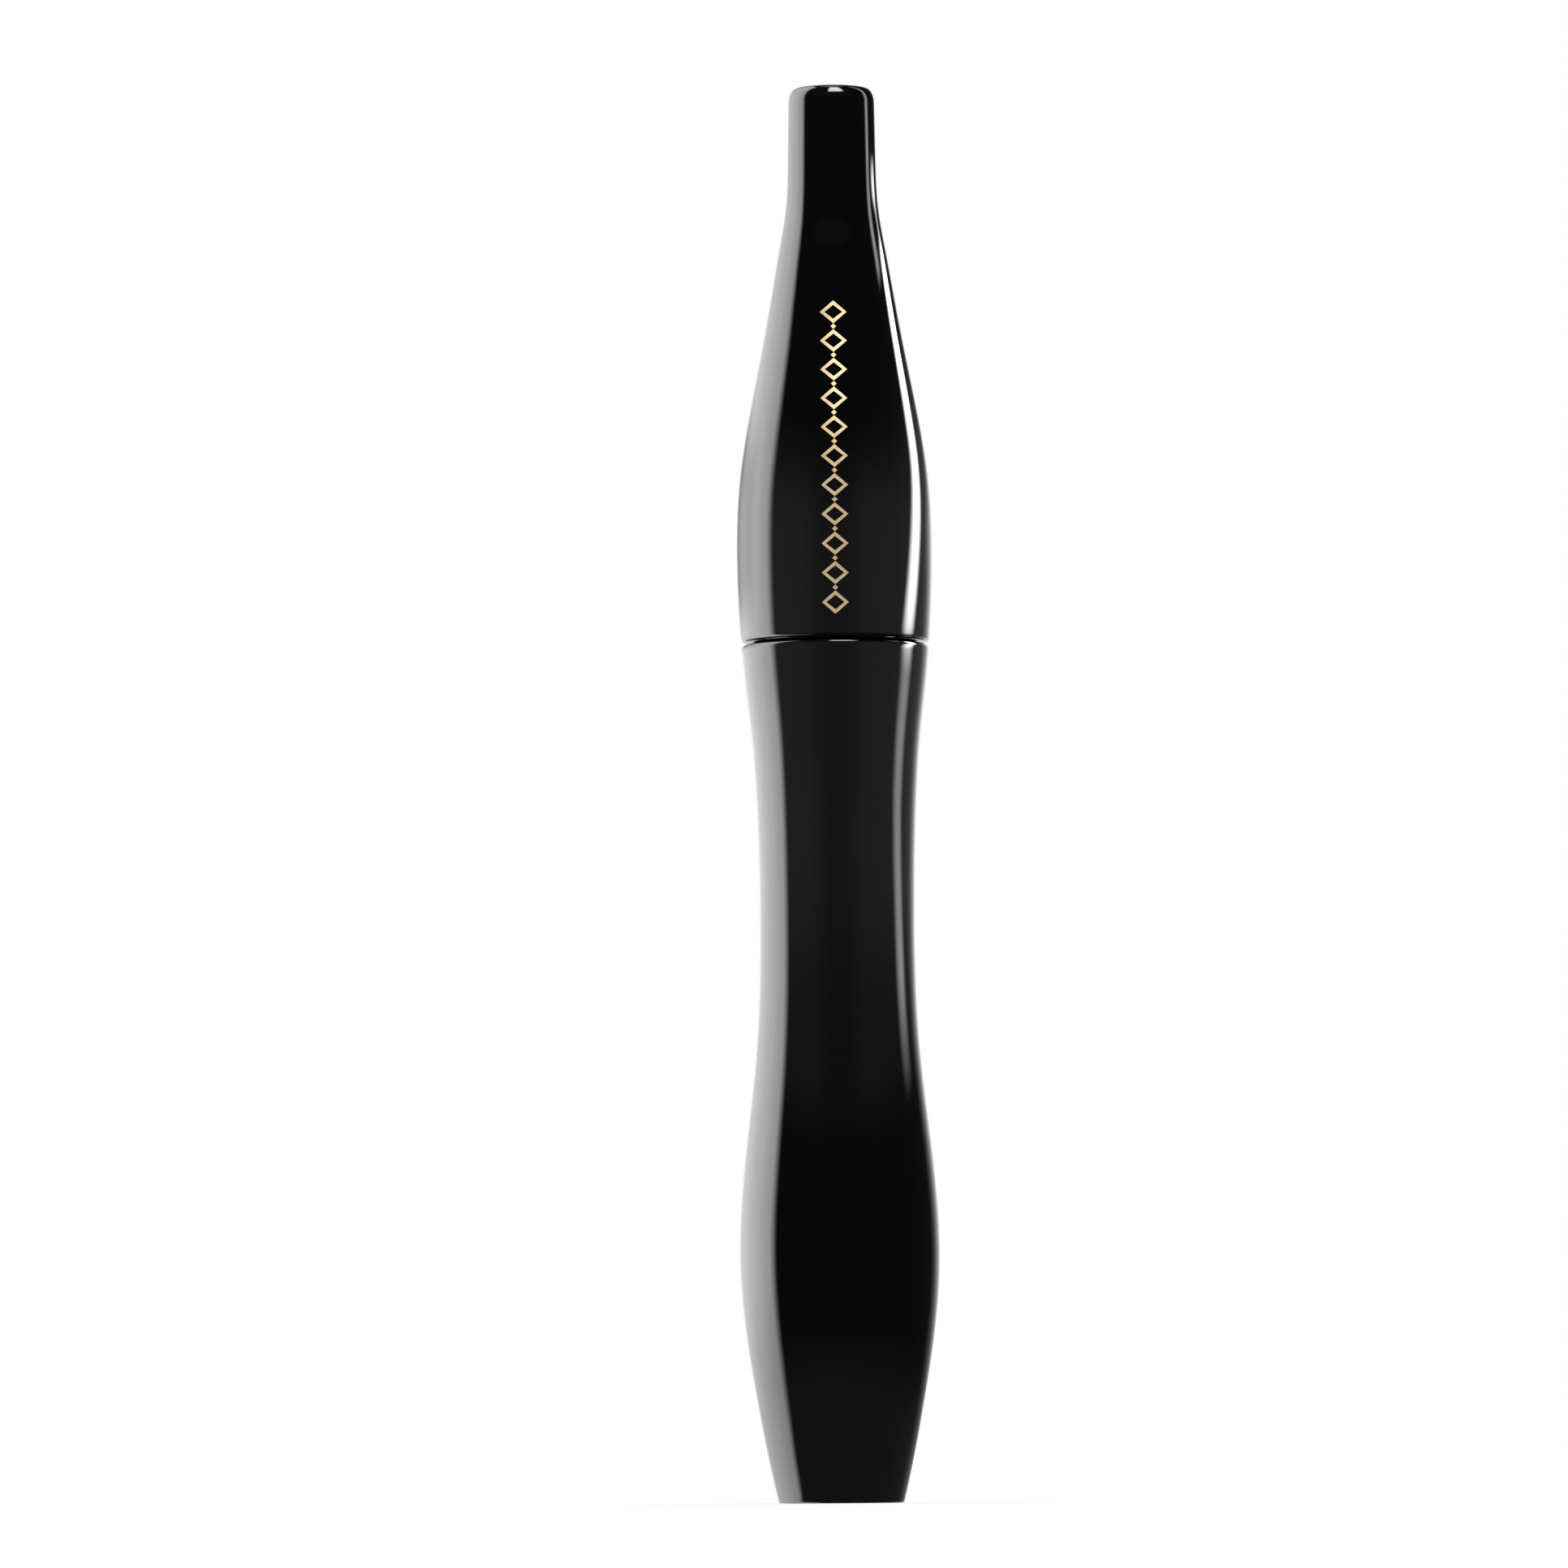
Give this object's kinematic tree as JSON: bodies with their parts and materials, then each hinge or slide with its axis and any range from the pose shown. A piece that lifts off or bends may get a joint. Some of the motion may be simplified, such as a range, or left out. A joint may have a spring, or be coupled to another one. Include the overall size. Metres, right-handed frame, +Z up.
{
  "type": "mascara tube",
  "caption": "Slim pinched-waist mascara tube standing on its foot, with a long screw cap that carries the rod and twisted-wire brush.",
  "frame": {"origin": "centre of the foot ring, on the surface the tube stands on", "axes": "+Z up the tube's axis to the cap's slim end, front ornament towards -Y"},
  "size_m": [0.0194, 0.0194, 0.138],
  "materials": {
    "black_gloss": "polished moulded black",
    "black_matte": "as-moulded black",
    "vial_plastic": "as-moulded translucent black",
    "wiper_rubber": "soft natural white",
    "gasket_rubber": "soft pale grey foam",
    "mascara_paste": "wet black paste",
    "steel": "bright turned steel",
    "gold_disc": "anodised satin gold",
    "gold_foil": "hot-stamped gold foil",
    "label_foil": "satin foil label, blank",
    "rod_plastic": "satin moulded black",
    "bristle_nylon": "nylon fibre"
  },
  "bodies": {
    "bottle": {"bottle_shell": "black_gloss", "base_weight": "steel", "base_plug": "black_matte", "base_label": "label_foil", "vial": "vial_plastic", "collar": "black_gloss", "wiper": "wiper_rubber"},
    "paste": {"mascara_formula": "mascara_paste"},
    "slug": {"cap_weight": "steel"},
    "applicator": {"cap_shell": "black_gloss", "end_disc": "gold_disc", "inner_cap": "black_matte", "gasket": "gasket_rubber", "rod": "rod_plastic", "brush_wire_a": "steel", "brush_wire_b": "steel", "bristles": "bristle_nylon", "front_foil": "gold_foil", "back_foil": "gold_foil"}
  },
  "joints": [
    {"name": "thread_rise", "type": "slide", "parent": "bottle", "child": "paste", "axis": [0, 0, 1], "range_m": [0, 0.0045]},
    {"name": "pull_out", "type": "slide", "parent": "paste", "child": "slug", "axis": [0, 0, 1], "range_m": [0, 0.09], "deforming": ["bristles"]},
    {"name": "unscrew", "type": "hinge", "parent": "slug", "child": "applicator", "pos_m": [0, 0, 0.0836], "axis": [0, 0, 1], "range_deg": [0, 540]}
  ],
  "couplings": [
    {"joint": "thread_rise", "follows": "unscrew", "m_per_rad": 0.00047746}
  ]
}
